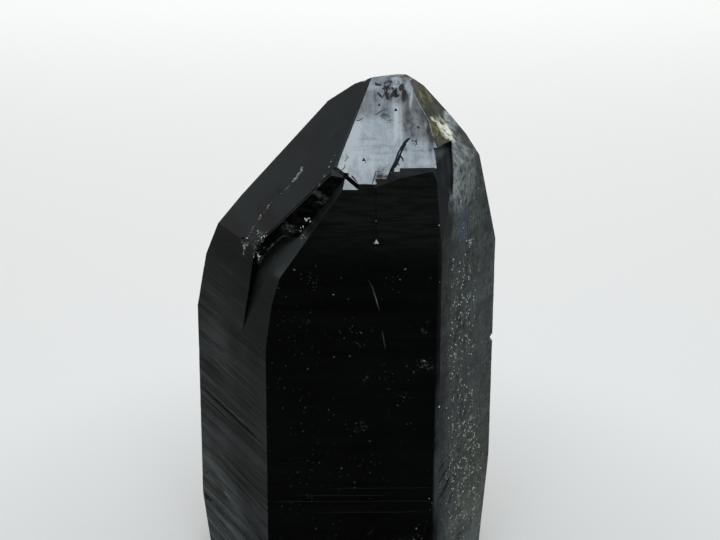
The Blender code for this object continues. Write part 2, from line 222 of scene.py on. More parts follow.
# Each band stands a hair in or out, and every large face swells gently, in two sizes that each have
# their share. Edges keep their place.
BAND_DEPTH = 0.016
BAND_LENGTH = 9.0
SWELL = 0.02
SWELL_SIZES = ((1.0, 6.0), (0.4, 1.7))
STILL = ("niche", "strip", PLATE_TOP)
FLAT = math.cos(math.radians(14.0))
band_offsets = [chance.uniform(-1.0, 1.0) ** 3 * BAND_DEPTH for _ in range(len(levels) + 1)]
moves = []
for corner in body.verts:
    around = corner.link_faces
    normal = corner.normal
    if len({face.material_index for face in around}) > 1 or face_names[around[0].material_index] in STILL:
        continue
    if min(face.normal.dot(normal) for face in around) < FLAT:
        continue
    place = corner.co / MM
    move = sum(SWELL * share * noise.noise(place / size) for share, size in SWELL_SIZES)
    if abs(normal.z) < 0.2:
        band = sum(1 for level in levels if place.z > level + LINE_RISE / 2)
        fade = 0.5 + 0.5 * noise.noise(Vector((place.x / BAND_LENGTH, place.y / BAND_LENGTH, band * 0.7)))
        move += band_offsets[band] * fade
    moves.append((corner, normal * move * MM))
for corner, move in moves:
    corner.co += move

# Edges sharper than this stay crisp.
CRISP = math.radians(9.0)
for edge in body.edges:
    edge.smooth = edge.calc_face_angle(0.0) < CRISP
for face in body.faces:
    face.smooth = True


def add_object(name, mesh):
    """Puts a mesh into the scene under a name."""
    made = bpy.data.objects.new(name, bpy.data.meshes.new(name))
    mesh.to_mesh(made.data)
    scene.collection.objects.link(made)
    return made


crystal = add_object("crystal", body)
crystal.data.attributes.remove(crystal.data.attributes["custom_normal"])

# A patch reaches right through the crystal, from the front to the back.
THROUGH = 1.0e6


class Skin:
    """One finish of the crystal: a glossy quartz shader and the patterns that feed it."""

    def __init__(self, name, roughness, shine):
        self.material = bpy.data.materials.new(name)
        self.material.use_nodes = True
        self.tree = self.material.node_tree
        self.shader = self.tree.nodes["Principled BSDF"]
        self.shader.inputs["Roughness"].default_value = roughness
        self.shader.inputs["IOR"].default_value = 1.54
        self.shader.inputs["Specular IOR Level"].default_value = shine
        self.place = self.node("TexCoord").outputs["Object"]
        self.loose = None

    def node(self, kind, **settings):
        """Adds one node, with its settings."""
        made = self.tree.nodes.new("ShaderNode" + kind)
        for name, value in settings.items():
            setattr(made, name, value)
        return made

    def put(self, socket, value):
        """Links a pattern to a socket, or sets a plain number or colour there."""
        if isinstance(value, bpy.types.NodeSocket):
            self.tree.links.new(value, socket)
        elif socket.type == "RGBA":
            socket.default_value = (*value, 1.0)
        else:
            socket.default_value = value

    def calc(self, operation, first, others):
        """Adds or multiplies patterns and numbers, one after another."""
        for other in others:
            made = self.node("Math", operation=operation)
            self.put(made.inputs[0], first)
            self.put(made.inputs[1], other)
            first = made.outputs[0]
        return first

    def plus(self, first, *others):
        return self.calc("ADD", first, others)

    def times(self, first, *others):
        return self.calc("MULTIPLY", first, others)

    def measured(self, place, x, z, turn, scale):
        """Places as they are measured from a spot, turned in the upright plane and scaled."""
        made = self.node("Mapping", vector_type="TEXTURE")
        self.put(made.inputs["Vector"], place)
        self.put(made.inputs["Location"], (x * MM, 0.0, z * MM))
        self.put(made.inputs["Rotation"], (0.0, math.radians(turn), 0.0))
        self.put(made.inputs["Scale"], [share * MM for share in scale])
        return made.outputs["Vector"]

    def cloud(self, size, stretch=(1.0, 1.0, 1.0), detail=3.0, shift=0.0, rough=0.55, turn=0.0):
        """Cloudy noise whose lumps are about `size` millimetres across, stretched along each axis."""
        scale = [size * share for share in stretch]
        made = self.node("TexNoise")
        self.put(made.inputs["Vector"], self.measured(self.place, shift, shift, turn, scale))
        made.inputs["Scale"].default_value = 1.0
        made.inputs["Detail"].default_value = detail
        made.inputs["Roughness"].default_value = rough
        return made.outputs["Fac"]

    def span(self, value, low, high, bottom=0.0, top=1.0):
        """Carries a range of values smoothly onto another."""
        made = self.node("MapRange", interpolation_type="SMOOTHSTEP")
        self.put(made.inputs["Value"], value)
        made.inputs["From Min"].default_value = low
        made.inputs["From Max"].default_value = high
        made.inputs["To Min"].default_value = bottom
        made.inputs["To Max"].default_value = top
        return made.outputs["Result"]

    def along(self, axis):
        """How far along an axis each spot lies, in millimetres."""
        made = self.node("SeparateXYZ")
        self.put(made.inputs[0], self.place)
        return self.times(made.outputs[axis], 1.0 / MM)

    def fade(self, axis, start, end, bottom=0.0, top=1.0):
        """Goes smoothly from one value to another between two places along an axis."""
        return self.span(self.along(axis), start, end, bottom, top)

    def loosen(self, size, reach):
        """Gives the patches ragged outlines: their place is shaken by noise."""
        shaken = self.node("TexNoise")
        self.put(shaken.inputs["Vector"], self.place)
        shaken.inputs["Scale"].default_value = 1.0 / (size * MM)
        shaken.inputs["Detail"].default_value = 3.0
        made = self.node("VectorMath", operation="MULTIPLY_ADD")
        self.put(made.inputs[0], shaken.outputs["Color"])
        self.put(made.inputs[1], [reach * MM] * 3)
        self.put(made.inputs[2], self.place)
        back = self.node("VectorMath", operation="SUBTRACT")
        self.put(back.inputs[0], made.outputs[0])
        self.put(back.inputs[1], [reach / 2 * MM] * 3)
        self.loose = back.outputs[0]

    def patch(self, x, z, wide, tall, turn, soft):
        """An oval patch seen from the front: 1 inside, falling to 0 at its rim."""
        made = self.node("TexGradient", gradient_type="SPHERICAL")
        place = self.loose or self.place
        self.put(made.inputs["Vector"], self.measured(place, x, z, turn, (wide, THROUGH, tall)))
        return self.span(made.outputs["Fac"], 0.0, soft)

    def shade(self, tone, spots, worn=1.0, soft=0.6):
        """Lightens or darkens a tone in oval spots: x, z, width, height, turn and weight."""
        for x, z, wide, tall, turn, weight in spots:
            tone = self.plus(tone, self.times(self.patch(x, z, wide, tall, turn, soft), weight, worn))
        return tone

    def dab(self, surface, colour, spots, worn=1.0, soft=0.6):
        """Lays a colour over a surface in oval spots: x, z, width, height, turn and strength."""
        for x, z, wide, tall, turn, strength in spots:
            cover = self.times(self.patch(x, z, wide, tall, turn, soft), strength, worn)
            surface = self.mix(cover, surface, colour)
        return surface

    def colours(self, value, stops):
        """A run of colours along a value, as (place, colour) pairs."""
        made = self.node("ValToRGB")
        self.put(made.inputs["Fac"], value)
        ramp = made.color_ramp.elements
        for index, (place, colour) in enumerate(stops):
            stop = ramp[index] if index < 2 else ramp.new(place)
            stop.position = place
            stop.color = (*colour, 1.0)
        return made.outputs["Color"]

    def mix(self, factor, first, second):
        made = self.node("Mix", data_type="RGBA")
        self.put(made.inputs[0], factor)
        self.put(made.inputs[6], first)
        self.put(made.inputs[7], second)
        return made.outputs[2]

    def scaled(self, colour, factor):
        """A colour made brighter or darker."""
        made = self.node("VectorMath", operation="SCALE")
        self.put(made.inputs[0], colour)
        self.put(made.inputs["Scale"], factor)
        return made.outputs[0]

    def colour(self, value):
        self.put(self.shader.inputs["Base Color"], value)

    def roughness(self, value):
        self.put(self.shader.inputs["Roughness"], value)

    def relief(self, value, depth):
        made = self.node("Bump")
        made.inputs["Distance"].default_value = depth * MM
        self.put(made.inputs["Height"], value)
        self.put(self.shader.inputs["Normal"], made.outputs["Normal"])


LEVEL = (40.0, 40.0, 1.0)
LEVEL_SHORT = (14.0, 14.0, 1.0)


def lined_skin(name, roughness, shine, dark, light, low=0.40, high=0.72):
    """An upright face: slate black, with fine level growth lines and broad darker bands."""
    skin = Skin(name, roughness, shine)
    broad = skin.cloud(2.4, LEVEL_SHORT, 3.0)
    skin.lines = skin.cloud(0.5, LEVEL, 4.0, 3.0, 0.6)
    haze = skin.cloud(16.0, (1.0, 1.0, 1.6), 3.0, 9.0)
    tone = skin.plus(skin.times(broad, 0.45), skin.times(skin.lines, 0.35), skin.times(haze, 0.35))
    skin.base = skin.colours(tone, [(low, dark), (high, light)])
    skin.colour(skin.base)
    skin.roughness(skin.span(broad, 0.3, 0.7, roughness * 1.5, roughness * 0.7))
    skin.relief(skin.plus(skin.lines, skin.times(broad, 0.6)), 0.012)
    return skin


def hazy_skin(name, roughness, shine, stops, depth, size, stretch=(1.0, 1.0, 1.0), detail=4.0, rough=0.55):
    """A plain face: one cloudy pattern gives it its colours and makes it a little uneven."""
    skin = Skin(name, roughness, shine)
    skin.haze = skin.cloud(size, stretch, detail, 0.0, rough)
    skin.base = skin.colours(skin.haze, stops)
    skin.colour(skin.base)
    skin.relief(skin.haze, depth)
    return skin


# The upright front face: the blackest and glossiest, with a faint greenish bloom near its top, a
# pale right edge that is partly frosted and partly a painted highlight, and a few smears.
front = lined_skin("quartz_front", 0.07, 0.42, (0.0014, 0.0016, 0.0016), (0.0044, 0.0048, 0.0048))
front.loosen(3.0, 2.5)
veil = front.span(front.cloud(0.8, (7.0, 7.0, 1.0), 4.0, 5.0, 0.65), 0.34, 0.70, 0.35, 1.25)
veil = front.times(veil, front.fade("Z", 79.0, 91.5), front.fade("X", -9.0, 3.0, 0.55, 1.0))
surface = front.mix(veil, front.base, (0.0105, 0.0130, 0.0115))
# A painted highlight along the right edge, broken up as if frosted.
edge = front.times(front.fade("X", 18.3, 19.1), front.fade("Z", 66.0, 38.0, 0.14, 1.0))
frosted_edge_highlight = front.span(front.cloud(1.4, (1.0, 1.0, 2.5), 4.0, 1.0, 0.65), 0.32, 0.60, 0.35, 1.15)
edge = front.times(edge, front.fade("Z", 26.0, 31.0, 0.3, 1.0), frosted_edge_highlight)
surface = front.mix(edge, surface, (0.060, 0.067, 0.069))
patchy = front.span(front.cloud(0.7, detail=4.0, rough=0.7), 0.5, 0.72)
front.colour(front.dab(surface, (0.050, 0.054, 0.056), [
    (16.5, 61.2, 2.4, 1.5, 0.0, 0.8), (4.4, 47.7, 1.3, 1.5, 0.0, 0.8), (-6.6, 70.2, 1.4, 1.2, 0.0, 0.8),
    (6.0, 24.0, 0.9, 1.6, 14.0, 0.8), (16.4, 69.0, 1.6, 2.6, 0.0, 0.8), (5.4, 58.6, 0.9, 2.2, 20.0, 0.8),
    (-2.0, 21.0, 5.0, 1.2, 0.0, 0.8), (12.0, 21.5, 4.0, 1.0, 0.0, 0.8),
], patchy, 0.7))

# The bright slope: lightly etched and mottled, and made pale by a painted reflection of the
# softbox. Right of the pale streak and towards the tip the face is painted greyer.
bright = Skin("quartz_bright_slope", 0.16, 0.5)
bright.loosen(1.1, 0.8)
clouds = bright.cloud(4.0, (1.0, 1.3, 1.3), 4.0, 0.0, 0.62)
mottle = bright.cloud(1.1, detail=4.0, shift=4.0, rough=0.62)
grain = bright.cloud(0.34, detail=3.0, shift=8.0, rough=0.6)
drag = bright.cloud(0.9, (1.0, 5.0, 5.0), 3.0, 6.0)
tone = bright.plus(0.30, bright.times(clouds, 0.40), bright.times(mottle, 0.40), bright.times(grain, 0.12))
tone = bright.plus(tone, bright.span(drag, 0.35, 0.65, -0.05, 0.05))
right_zone = bright.times(bright.fade("X", 11.3, 12.0), bright.fade("Z", 103.6, 105.8))
tip_zone = bright.times(bright.fade("Z", 107.4, 109.6), bright.fade("X", 10.2, 9.4))
tone = bright.plus(tone, bright.times(right_zone, -0.38), bright.times(tip_zone, -0.30))
tone = bright.shade(tone, [
    (17.0, 104.2, 1.4, 3.4, 0.0, -0.12), (17.0, 107.6, 0.9, 2.6, 14.0, -0.16),
    (12.3, 107.6, 0.9, 3.0, 0.0, -0.04), (10.6, 107.6, 0.62, 3.7, 0.0, 0.30),
    (13.5, 111.6, 0.42, 2.4, 8.0, 0.34), (10.8, 111.8, 2.3, 1.7, 0.0, -0.26),
    (1.9, 103.0, 1.5, 5.5, 24.0, 0.22), (4.6, 101.6, 3.6, 2.6, 0.0, 0.10),
    (8.2, 100.4, 2.0, 1.2, 0.0, -0.10), (8.6, 108.5, 1.4, 0.6, 0.0, -0.18),
    (15.6, 101.2, 1.9, 0.9, 0.0, 0.12), (7.4, 99.4, 1.3, 0.9, 0.0, -0.30),
    (5.6, 104.9, 2.6, 0.5, 0.0, -0.10), (3.7, 108.0, 1.0, 0.5, 10.0, -0.12),
    (7.7, 98.7, 2.0, 1.0, 0.0, -0.34), (6.0, 113.4, 2.4, 1.0, 0.0, 0.22),
    (12.8, 113.2, 0.9, 1.4, 0.0, 0.26), (11.6, 106.2, 0.7, 1.8, 0.0, 0.14),
    (4.4, 104.4, 3.0, 0.5, 0.0, 0.08), (8.4, 103.9, 3.0, 0.28, 0.0, -0.13),
    (15.2, 103.1, 2.6, 0.25, 0.0, -0.14), (8.0, 102.7, 3.4, 0.22, 0.0, -0.07),
    (6.6, 101.7, 3.4, 0.25, 0.0, -0.07), (4.0, 103.2, 2.6, 0.22, 0.0, -0.06),
    (2.6, 105.8, 1.2, 3.6, 26.0, 0.10), (17.0, 103.9, 0.9, 1.6, 0.0, -0.12),
])
specks = bright.span(bright.cloud(0.5, detail=4.0, shift=2.0, rough=0.7), 0.46, 0.58)
tone = bright.shade(tone, [
    (7.2, 113.7, 1.5, 0.4, 0.0, -0.3), (9.8, 114.0, 2.6, 0.5, 0.0, -0.4), (9.6, 107.8, 1.5, 0.4, -10.0, -0.3),
    (13.9, 104.4, 0.7, 0.8, 0.0, -0.3), (0.9, 101.9, 0.7, 1.1, 0.0, -0.2), (7.9, 100.3, 1.6, 0.5, 0.0, -0.25),
], specks)
# Pits eaten into the tip: blotches with ragged rims.
pits = bright.span(bright.cloud(0.7, detail=5.0, shift=7.0, rough=0.72), 0.40, 0.52)
tone = bright.shade(tone, [
    (8.7, 112.5, 0.42, 1.5, -16.0, -1.0), (10.3, 112.4, 0.45, 1.0, 34.0, -1.0),
    (10.8, 111.8, 0.9, 0.42, 6.0, -1.1), (11.7, 113.3, 0.9, 0.5, -30.0, -0.8),
    (9.6, 113.2, 0.8, 0.5, 0.0, -0.6), (7.6, 112.0, 0.6, 0.3, 30.0, -0.5),
    (7.0, 113.8, 0.9, 0.28, 14.0, -0.6), (12.1, 112.3, 0.4, 0.7, 20.0, -0.6),
], pits, 0.3)
# Its pale colours are a painted reflection of the softbox over the mottle of the etching.
bright.colour(bright.colours(tone, [
    (0.05, (0.001, 0.002, 0.002)), (0.30, (0.008, 0.015, 0.020)), (0.46, (0.046, 0.066, 0.084)),
    (0.70, (0.170, 0.212, 0.250)), (0.92, (0.330, 0.380, 0.420)),
]))
bright.roughness(bright.span(tone, 0.1, 0.6, 0.75, 0.16))
bright.relief(bright.plus(mottle, bright.times(grain, 0.5)), 0.03)

# The left slope: smooth slate black, a little darker towards the shoulder.
left_slope = Skin("quartz_left_slope", 0.15, 0.13)
left_slope.loosen(4.0, 3.0)
haze = left_slope.cloud(7.0, detail=4.0)
fine = left_slope.cloud(0.8, detail=4.0, shift=3.0)
tone = left_slope.plus(left_slope.times(haze, 0.7), left_slope.times(fine, 0.3))
surface = left_slope.colours(tone, [(0.35, (0.0014, 0.0034, 0.0042)), (0.7, (0.0066, 0.0118, 0.0134))])
surface = left_slope.dab(surface, (0.0012, 0.0015, 0.0016), [(-13.6, 88.4, 3.4, 2.4, 40.0, 1.0)], soft=0.4)
surface = left_slope.dab(surface, (0.0008, 0.0011, 0.0013), [(-21.0, 83.0, 8.0, 4.5, 40.0, 1.0)])
left_slope.colour(surface)
left_slope.relief(left_slope.plus(haze, left_slope.times(fine, 0.4)), 0.03)

# The flank below the groove: painted light above its bend, and darker near the bright slope.
flank = lined_skin("quartz_flank", 0.22, 0.16, (0.0060, 0.0074, 0.0072), (0.0125, 0.0145, 0.0142))
flank.loosen(1.6, 1.2)
# Painted light: paler patches above the bend.
surface = flank.dab(flank.base, (0.0330, 0.0390, 0.0385), [(-10.0, 84.0, 6.8, 6.4, 0.0, 1.0)], soft=0.4)
surface = flank.dab(surface, (0.0300, 0.0345, 0.0330), [(-15.2, 80.0, 3.4, 7.0, 20.0, 1.0)], soft=0.9)
dark_mottle = flank.span(flank.cloud(1.2, detail=4.0), 0.36, 0.60, 0.5, 1.0)
flank.colour(flank.dab(surface, (0.0040, 0.0050, 0.0046), [(-3.4, 92.0, 6.0, 5.0, 0.0, 1.0)], dark_mottle, 0.4))

# The left face: painted light makes it palest at its left edge and at the foot and darker higher
# up. It has a pale band under the groove, dark bands of painted shade under its ledges, streaks
# along the growth lines, and an earthy tint in places.
left = lined_skin("quartz_left", 0.22, 0.22, (0.0006, 0.0007, 0.0007), (0.0250, 0.0295, 0.0290), 0.46, 0.68)
# Painted light: paler at the left edge and at the foot, darker higher up.
foot = left.times(left.fade("Z", 34.0, 20.0, 0.0, 1.9), left.fade("X", -29.5, -24.0, 0.35, 1.0))
gain = left.times(left.fade("Z", 80.0, 54.0, 0.18, 1.0), left.fade("X", -31.0, -20.0, 1.9, 0.86))
fine = left.span(left.cloud(0.5, LEVEL, 5.0, 21.0, 0.75), 0.42, 0.58, 0.55, 1.42)
surface = left.scaled(left.base, left.times(gain, left.plus(1.0, foot), fine))
left.loosen(3.0, 2.0)
lined = left.span(left.lines, 0.35, 0.6)
surface = left.dab(surface, (0.0420, 0.0480, 0.0470), [(-27.0, 58.5, 5.0, 3.4, 0.0, 0.8)], lined, 0.5)
streaks = left.span(left.cloud(0.34, LEVEL, 5.0, 12.0, 0.7), 0.56, 0.70, 0.0, 0.55)
surface = left.mix(streaks, surface, (0.0030, 0.0036, 0.0036))
# Painted shade: dark bands under the ledges.
surface = left.dab(surface, (0.0060, 0.0075, 0.0075), [
    (-26.4, 21.4, 2.6, 1.3, 0.0, 0.8), (-24.0, 43.2, 9.0, 1.5, 0.0, 0.55),
], soft=0.7)
earthy = left.span(left.cloud(3.6, (1.6, 1.6, 1.0), 4.0, 17.0, 0.6), 0.48, 0.66, 0.0, 0.5)
earthy = left.times(earthy, left.span(left.lines, 0.40, 0.60))
left.colour(left.mix(earthy, surface, (0.0330, 0.0300, 0.0255)))

# The faces at the back: dusty near the foot and clouded on one side.
back = lined_skin("quartz_back", 0.17, 0.45, (0.0012, 0.0015, 0.0015), (0.0150, 0.0172, 0.0172), 0.44, 0.68)
back.loosen(5.0, 5.0)
dust = back.span(back.cloud(1.6, (1.0, 1.0, 1.8), 5.0, 3.0, 0.68), 0.42, 0.66, 0.0, 0.8)
surface = back.mix(back.times(dust, back.fade("Z", 34.0, 6.0)), back.base, (0.040, 0.045, 0.044))
clouded = back.span(back.cloud(3.0, (1.0, 1.0, 2.4), 5.0, 8.0, 0.66), 0.40, 0.66)
back.colour(back.dab(surface, (0.028, 0.033, 0.033), [(-18.0, 62.0, 14.0, 22.0, 20.0, 0.7)], clouded))

# The milky right side: slate with cloudy streaks, bluish at the top and yellowish lower down. Painted
# light makes it brighter towards the foot, and it has painted glitter and a milky rim that is
# partly a painted highlight.
right = lined_skin("quartz_right", 0.26, 0.36, (0.020, 0.025, 0.025), (0.046, 0.057, 0.056))
right.loosen(2.2, 2.0)
lumps = right.cloud(0.9, (0.8, 0.8, 1.5), 5.0, 2.0, 0.7)
broad = right.cloud(3.4, (1.0, 1.0, 2.4), 4.0, 7.0, 0.6)
gain = right.plus(right.span(lumps, 0.30, 0.70, 0.45, 1.75), right.span(broad, 0.35, 0.65, -0.22, 0.30))
# Painted light: brighter towards the foot.
gain = right.times(gain, right.fade("X", 19.8, 21.8, 0.62, 1.12), right.fade("Z", 32.0, 22.0, 1.0, 1.6))
gain = right.times(gain, right.fade("X", 24.0, 27.0, 1.0, 1.2))
surface = right.scaled(right.base, gain)
surface = right.dab(surface, (0.014, 0.016, 0.017), [(20.4, 92.4, 1.4, 9.0, 0.0, 0.9)], soft=0.35)
milk = right.span(lumps, 0.36, 0.60)
surface = right.dab(surface, (0.235, 0.285, 0.278), [(22.8, 97.6, 4.0, 9.5, -6.0, 0.95)], milk, 0.5)
# A milky rim beside the niche, partly a painted highlight.
milky_highlight_rim = right.span(lumps, 0.34, 0.52)
surface = right.dab(surface, (0.300, 0.360, 0.350), [(21.9, 97.6, 0.9, 5.5, 0.0, 1.0)], milky_highlight_rim, 0.5)
pale = right.span(lumps, 0.40, 0.66)
surface = right.dab(surface, (0.105, 0.128, 0.126), [(24.8, 88.0, 3.0, 8.0, 0.0, 0.7)], pale)
blue = right.span(lumps, 0.30, 0.55)
surface = right.dab(surface, (0.066, 0.096, 0.146), [(23.7, 87.2, 1.2, 5.2, 6.0, 0.85)], blue)
# Painted glitter: pale specks that stand in for sparkles of light.
painted_glitter = right.span(right.cloud(0.42, (1.0, 1.0, 1.9), 3.0, 11.0, 0.62), 0.54, 0.66, 0.0, 0.7)
painted_glitter = right.times(painted_glitter, right.fade("X", 20.6, 22.4), right.fade("Z", 86.0, 78.0))
surface = right.mix(painted_glitter, surface, (0.120, 0.140, 0.118))
stain = right.span(right.cloud(1.1, detail=4.0), 0.44, 0.60)
right.colour(right.dab(surface, (0.100, 0.100, 0.050), [(28.0, 28.0, 5.0, 19.0, 0.0, 0.5)], stain))

# The right slope: painted glints of light, honey-coloured, with dark streaks of painted shadow
# between them, and a milky corner.
SLANT = 44.0
gold = Skin("quartz_right_slope", 0.24, 0.2)
gold.loosen(1.0, 1.0)
coarse = gold.cloud(1.9, (1.0, 1.4, 1.4), 4.0, 0.0, 0.62)
slanted = gold.cloud(0.62, (2.4, 2.0, 1.0), 5.0, 5.0, 0.7, SLANT)
surface = gold.colours(coarse, [
    (0.36, (0.008, 0.010, 0.009)), (0.52, (0.036, 0.040, 0.034)), (0.68, (0.085, 0.092, 0.078)),
])
# Painted glints: honey-coloured light along the slant.
painted_honey_glints = gold.colours(slanted, [
    (0.36, (0.008, 0.009, 0.003)), (0.48, (0.060, 0.058, 0.018)), (0.58, (0.160, 0.155, 0.060)),
    (0.70, (0.52, 0.52, 0.34)),
])
surface = gold.dab(surface, painted_honey_glints, [
    (18.5, 105.6, 2.7, 1.5, 50.0, 1.0), (16.2, 111.0, 3.2, 1.3, 58.0, 0.85),
    (18.2, 107.9, 1.2, 0.9, 40.0, 0.6),
])
milk = gold.colours(slanted, [
    (0.36, (0.045, 0.056, 0.060)), (0.50, (0.20, 0.24, 0.25)), (0.66, (0.52, 0.58, 0.60)),
])
surface = gold.dab(surface, milk, [
    (21.3, 106.4, 2.6, 1.3, 52.0, 1.0), (22.4, 101.4, 2.6, 3.2, 20.0, 0.55),
    (25.4, 101.2, 1.6, 2.2, 40.0, 0.45),
], soft=0.5)
# Painted shadow: dark streaks along the slant.
surface = gold.dab(surface, (0.014, 0.016, 0.012), [
    (17.2, 108.4, 2.4, 0.8, 54.0, 0.85), (18.2, 104.4, 1.3, 0.8, 48.0, 0.85),
    (15.6, 112.4, 1.8, 0.5, 58.0, 0.85), (24.6, 102.6, 3.4, 1.6, 50.0, 0.85),
    (19.0, 109.6, 2.6, 0.6, 46.0, 0.85),
], gold.span(coarse, 0.40, 0.60, 1.0, 0.5))
# Painted glints: bright streaks of light along the slant.
thin_glint = gold.span(slanted, 0.42, 0.56)
surface = gold.dab(surface, (0.70, 0.70, 0.50), [(17.9, 107.2, 1.6, 0.35, 50.0, 1.0)], thin_glint)
glint = gold.span(slanted, 0.36, 0.50)
gold.colour(gold.dab(surface, (0.86, 0.87, 0.72), [(20.1, 105.3, 3.4, 0.9, 51.0, 1.0)], glint))
gold.relief(gold.plus(coarse, gold.times(slanted, 0.5)), 0.09)

# The small faces: the right shoulder, the strip and the niche beside the bright slope, the faces
# that close the back, the hollow under the leaf, the top of the plate, and fresh breaks.
shoulder = hazy_skin("quartz_right_shoulder", 0.2, 0.5, [
    (0.38, (0.010, 0.012, 0.012)), (0.66, (0.075, 0.088, 0.090)),
], 0.08, 3.0, (1.0, 1.4, 3.0), 4.0, 0.62)

strip = hazy_skin("quartz_strip", 0.16, 0.26, [
    (0.35, (0.013, 0.016, 0.018)), (0.68, (0.022, 0.026, 0.028)),
], 0.03, 5.0, (1.0, 1.0, 3.0))

niche = hazy_skin("quartz_niche", 0.3, 0.015, [
    (0.35, (0.034, 0.040, 0.043)), (0.68, (0.046, 0.052, 0.055)),
], 0.02, 3.0, (1.0, 1.0, 2.0))
# Painted light and shade: the niche is made lighter at its wall and top, where it lies in shade, and darker
# at its left and low down, where light reaches it.
gain = niche.times(niche.fade("X", 18.2, 19.8, 0.48, 1.0), niche.fade("X", 19.9, 21.0, 1.0, 3.0))
gain = niche.times(gain, niche.fade("Z", 100.8, 102.2, 1.0, 3.6), niche.fade("Z", 98.6, 96.2, 1.0, 0.42))
niche.colour(niche.scaled(niche.base, gain))

back_slope = hazy_skin("quartz_back_slope", 0.14, 0.5, [
    (0.35, (0.003, 0.004, 0.004)), (0.7, (0.013, 0.015, 0.015)),
], 0.04, 6.0)

hollow = hazy_skin("quartz_hollow", 0.12, 0.10, [
    (0.46, (0.0012, 0.0014, 0.0012)), (0.74, (0.0090, 0.0100, 0.0090)),
], 0.06, 1.1, (1.6, 1.6, 1.0), 4.0, 0.65)
hollow.loosen(1.5, 1.5)
# Painted highlights: pale glassy patches near the top of the hollow.
surface = hollow.dab(hollow.base, (0.050, 0.055, 0.052), [
    (-3.6, 95.2, 2.6, 0.8, 24.0, 1.0), (-2.6, 93.6, 2.4, 0.6, 10.0, 1.0), (-9.6, 88.6, 2.4, 1.0, 20.0, 1.0),
], hollow.span(hollow.haze, 0.42, 0.60))
# Painted light: a paler rim along the lower edge of the hollow, where it lies in deep shade.
hollow.colour(hollow.dab(surface, (0.170, 0.195, 0.190), [
    (-14.4, 81.0, 2.2, 1.5, -50.0, 1.0), (-12.2, 83.6, 2.2, 1.5, -42.0, 1.0),
    (-10.4, 85.2, 2.2, 1.5, -36.0, 1.0),
], hollow.span(hollow.haze, 0.30, 0.55, 0.6, 1.0), 0.5))

plate_top = hazy_skin("quartz_plate_top", 0.3, 0.05, [
    (0.35, (0.010, 0.012, 0.013)), (0.68, (0.022, 0.024, 0.026)),
], 0.05, 1.4, (2.0, 1.0, 1.0), 3.0)
low_down = plate_top.fade("Z", 100.2, 98.0, 0.0, 0.6)
plate_top.colour(plate_top.mix(low_down, plate_top.base, (0.0060, 0.0075, 0.0070)))

broken = hazy_skin("quartz_broken", 0.22, 0.5, [
    (0.40, (0.004, 0.005, 0.005)), (0.56, (0.045, 0.050, 0.052)), (0.70, (0.30, 0.32, 0.33)),
], 0.25, 0.8, detail=5.0, rough=0.68)

skins = {
    "front": front, "bright_slope": bright, "left_slope": left_slope, "right_slope": gold, "flank": flank,
    "left": left, "right": right, "strip": strip, "niche": niche, "back": back, "back_slope": back_slope,
    "right_shoulder": shoulder, "hollow": hollow, PLATE_TOP: plate_top, BROKEN: broken,
}
for name in face_names:
    crystal.data.materials.append(skins[name].material)

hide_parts("morion_crystal")
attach(crystal, "root")

# ---------------------------------------------------------------------------------------------
# The flakes. Slivers and shell-shaped chips of clear quartz that stand on the crystal where its
# growth layers end and where it was bruised. They are part of the stone and catch the light.

# How far off the crystal a spot may lie, how deep the rims of chips and threads are sunk, and how
# crooked a chip is.
touch = BVHTree.FromBMesh(body)
REACH = 9.0
SUNK = 0.02
CORNERS = (4, 5, 5, 6)
CROOKED = 0.3
STRETCH = (0.7, 1.15)


def rest_on(spot, way):
    """The place on the crystal in front of a spot, and the way the crystal looks there."""
    start = Vector(spot) * MM + way * REACH * MM
    place, normal, _, _ = touch.ray_cast(start, -way, 2 * REACH * MM)
    return place, normal


def close_chip(mesh, rim, peak, tone):
    """Closes a chip: a facet from each side of its rim to its peak, and one underneath."""
    for corner, following in zip(rim, rim[1:] + rim[:1]):
        mesh.faces.new((corner, following, peak)).material_index = tone
    mesh.faces.new(rim[::-1]).material_index = tone


def add_flake(mesh, spot, way, long, wide, tall, turn, tone):
    """One chip: a low crooked pyramid whose rim is sunk a little into the face."""
    place, normal = rest_on(spot, way)
    if place is None:
        return
    side = normal.cross(UP)
    side = side.normalized() if side.length > 0.1 else Vector((1.0, 0.0, 0.0))
    up = -side.cross(normal).normalized()
    along = side * math.cos(turn) + up * math.sin(turn)
    across = normal.cross(along)
    sides = chance.choice(CORNERS)
    rim = []
    for index in range(sides):
        angle = math.tau * (index + chance.uniform(-CROOKED, CROOKED)) / sides
        stretch = chance.uniform(*STRETCH)
        offset = along * math.cos(angle) * long * stretch / 2 + across * math.sin(angle) * wide * stretch / 2
        rim.append(mesh.verts.new(place + offset * MM - normal * SUNK * MM))
    lean = along * chance.uniform(-CROOKED, CROOKED) * long
    lean += across * chance.uniform(-CROOKED, CROOKED) * wide
    peak = mesh.verts.new(place + lean * MM + normal * tall * MM)
    close_chip(mesh, rim, peak, tone)


def flake_piece(name, mesh, materials):
    """Makes one piece of the stone from a mesh of chips or threads."""
    bmesh.ops.recalc_face_normals(mesh, faces=mesh.faces)
    piece = add_object(name, mesh)
    mesh.free()
    for material in materials:
        piece.data.materials.append(material)
    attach(piece, "root")


def flake_skin(name, dull, clear, roughness, size, shine=0.5):
    """The finish of chips and threads: it varies from dull to clear quartz."""
    skin = Skin(name, roughness, shine)
    grain = skin.cloud(size, detail=3.0, rough=0.6)
    skin.colour(skin.colours(grain, [(0.35, dull), (0.65, clear)]))
    return skin.material


def jitter(*spreads):
    """A random shift for each of the spreads."""
    return [chance.gauss(0.0, spread) for spread in spreads]


# From this place at its left edge, the left face comes forward to the right.
LEFT_EDGE = (-30.2, 4.2)
LEFT_RUN = 1.74
LEFTWARD = direction(-60.0, 0.0)
LEFT_UP = direction(-60.0, SLOPE_LEAN)


